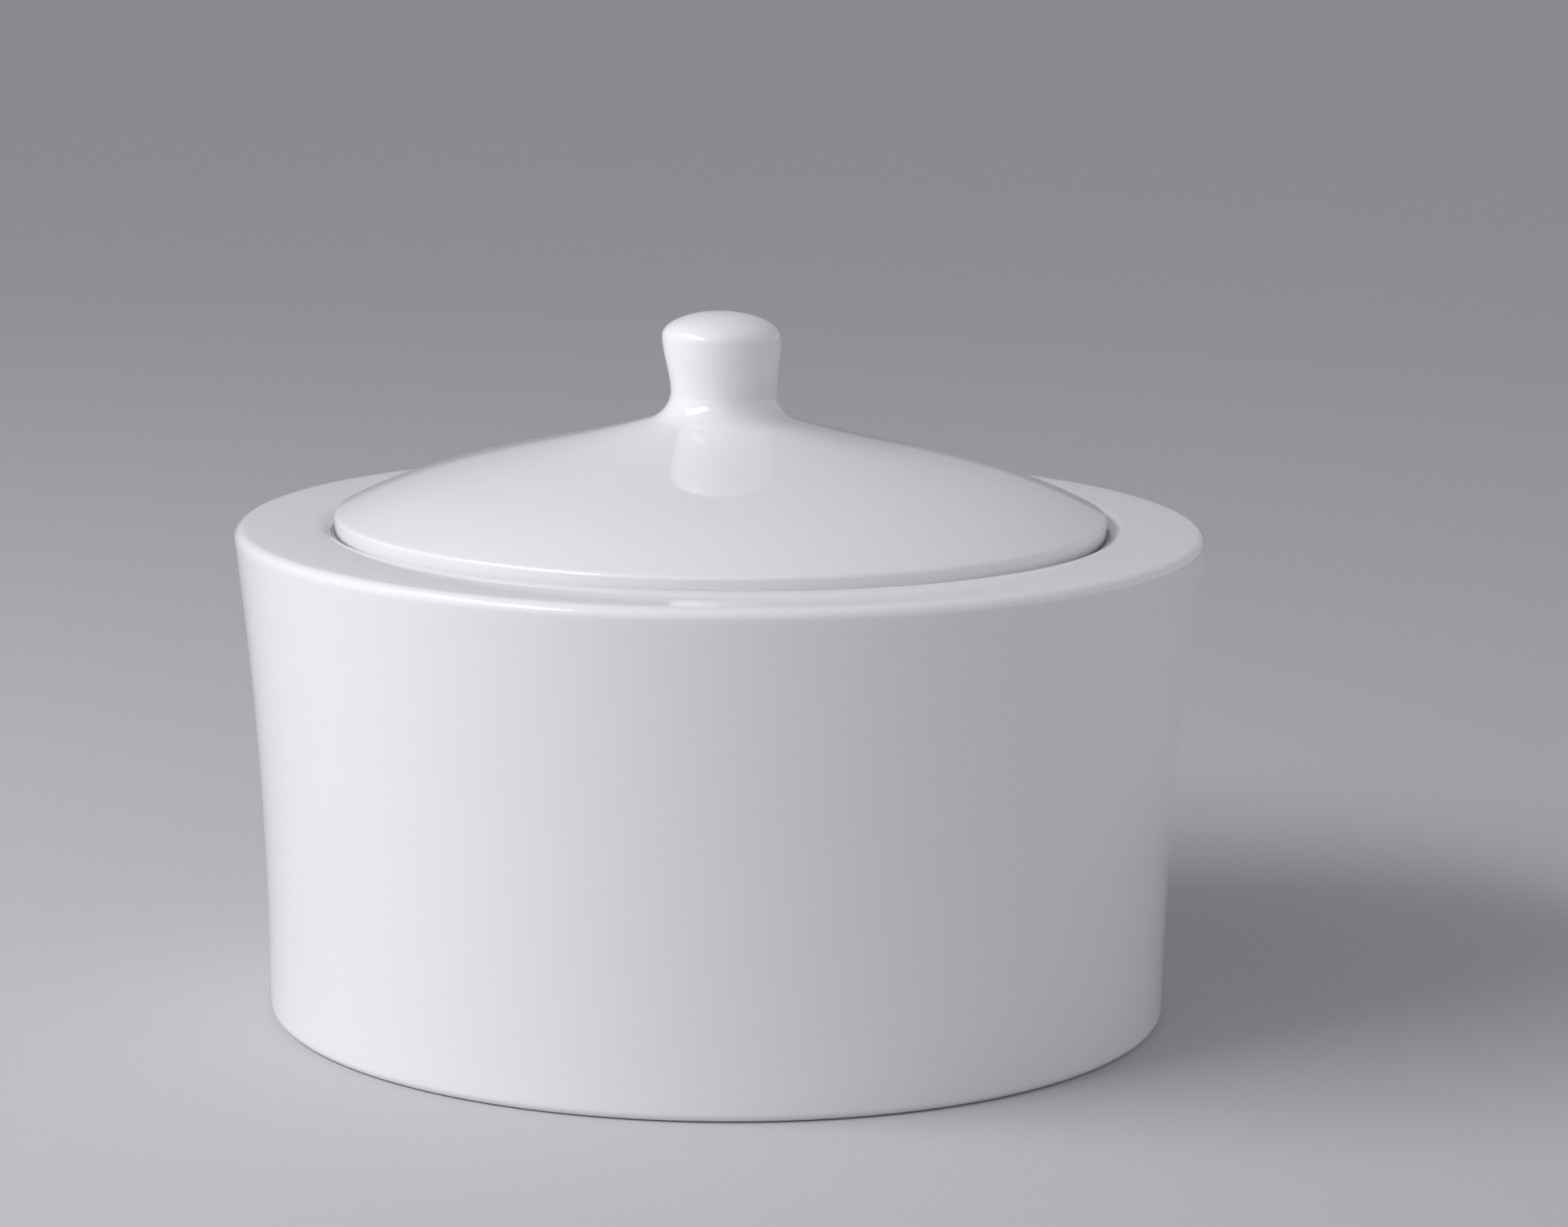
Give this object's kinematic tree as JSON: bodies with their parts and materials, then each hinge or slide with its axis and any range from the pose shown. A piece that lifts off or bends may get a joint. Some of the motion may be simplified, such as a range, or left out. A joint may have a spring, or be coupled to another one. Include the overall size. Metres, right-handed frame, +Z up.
{
  "type": "sugar bowl",
  "caption": "Round sugar bowl in white glazed porcelain with a slightly flared wall, a broad rim and an inset domed lid that lifts off by its knob.",
  "frame": {"origin": "centre of the foot ring's underside, on the table", "axes": "+Z up along the shared axis of the bowl, the lid and its knob; the object is round, so X and Y are alike"},
  "size_m": [0.11, 0.11, 0.0801],
  "materials": {
    "bowl_porcelain": "white porcelain under a clear, glossy glaze, with a bare foot ring",
    "lid_porcelain": "white porcelain under a clear, glossy glaze"
  },
  "bodies": {
    "bowl": {"bowl": "bowl_porcelain"},
    "lid": {"lid": "lid_porcelain"}
  },
  "joints": [
    {"name": "lid_lift", "type": "slide", "parent": "bowl", "child": "lid", "axis": [0, 0, 1], "range_m": [0, 0.08]}
  ]
}
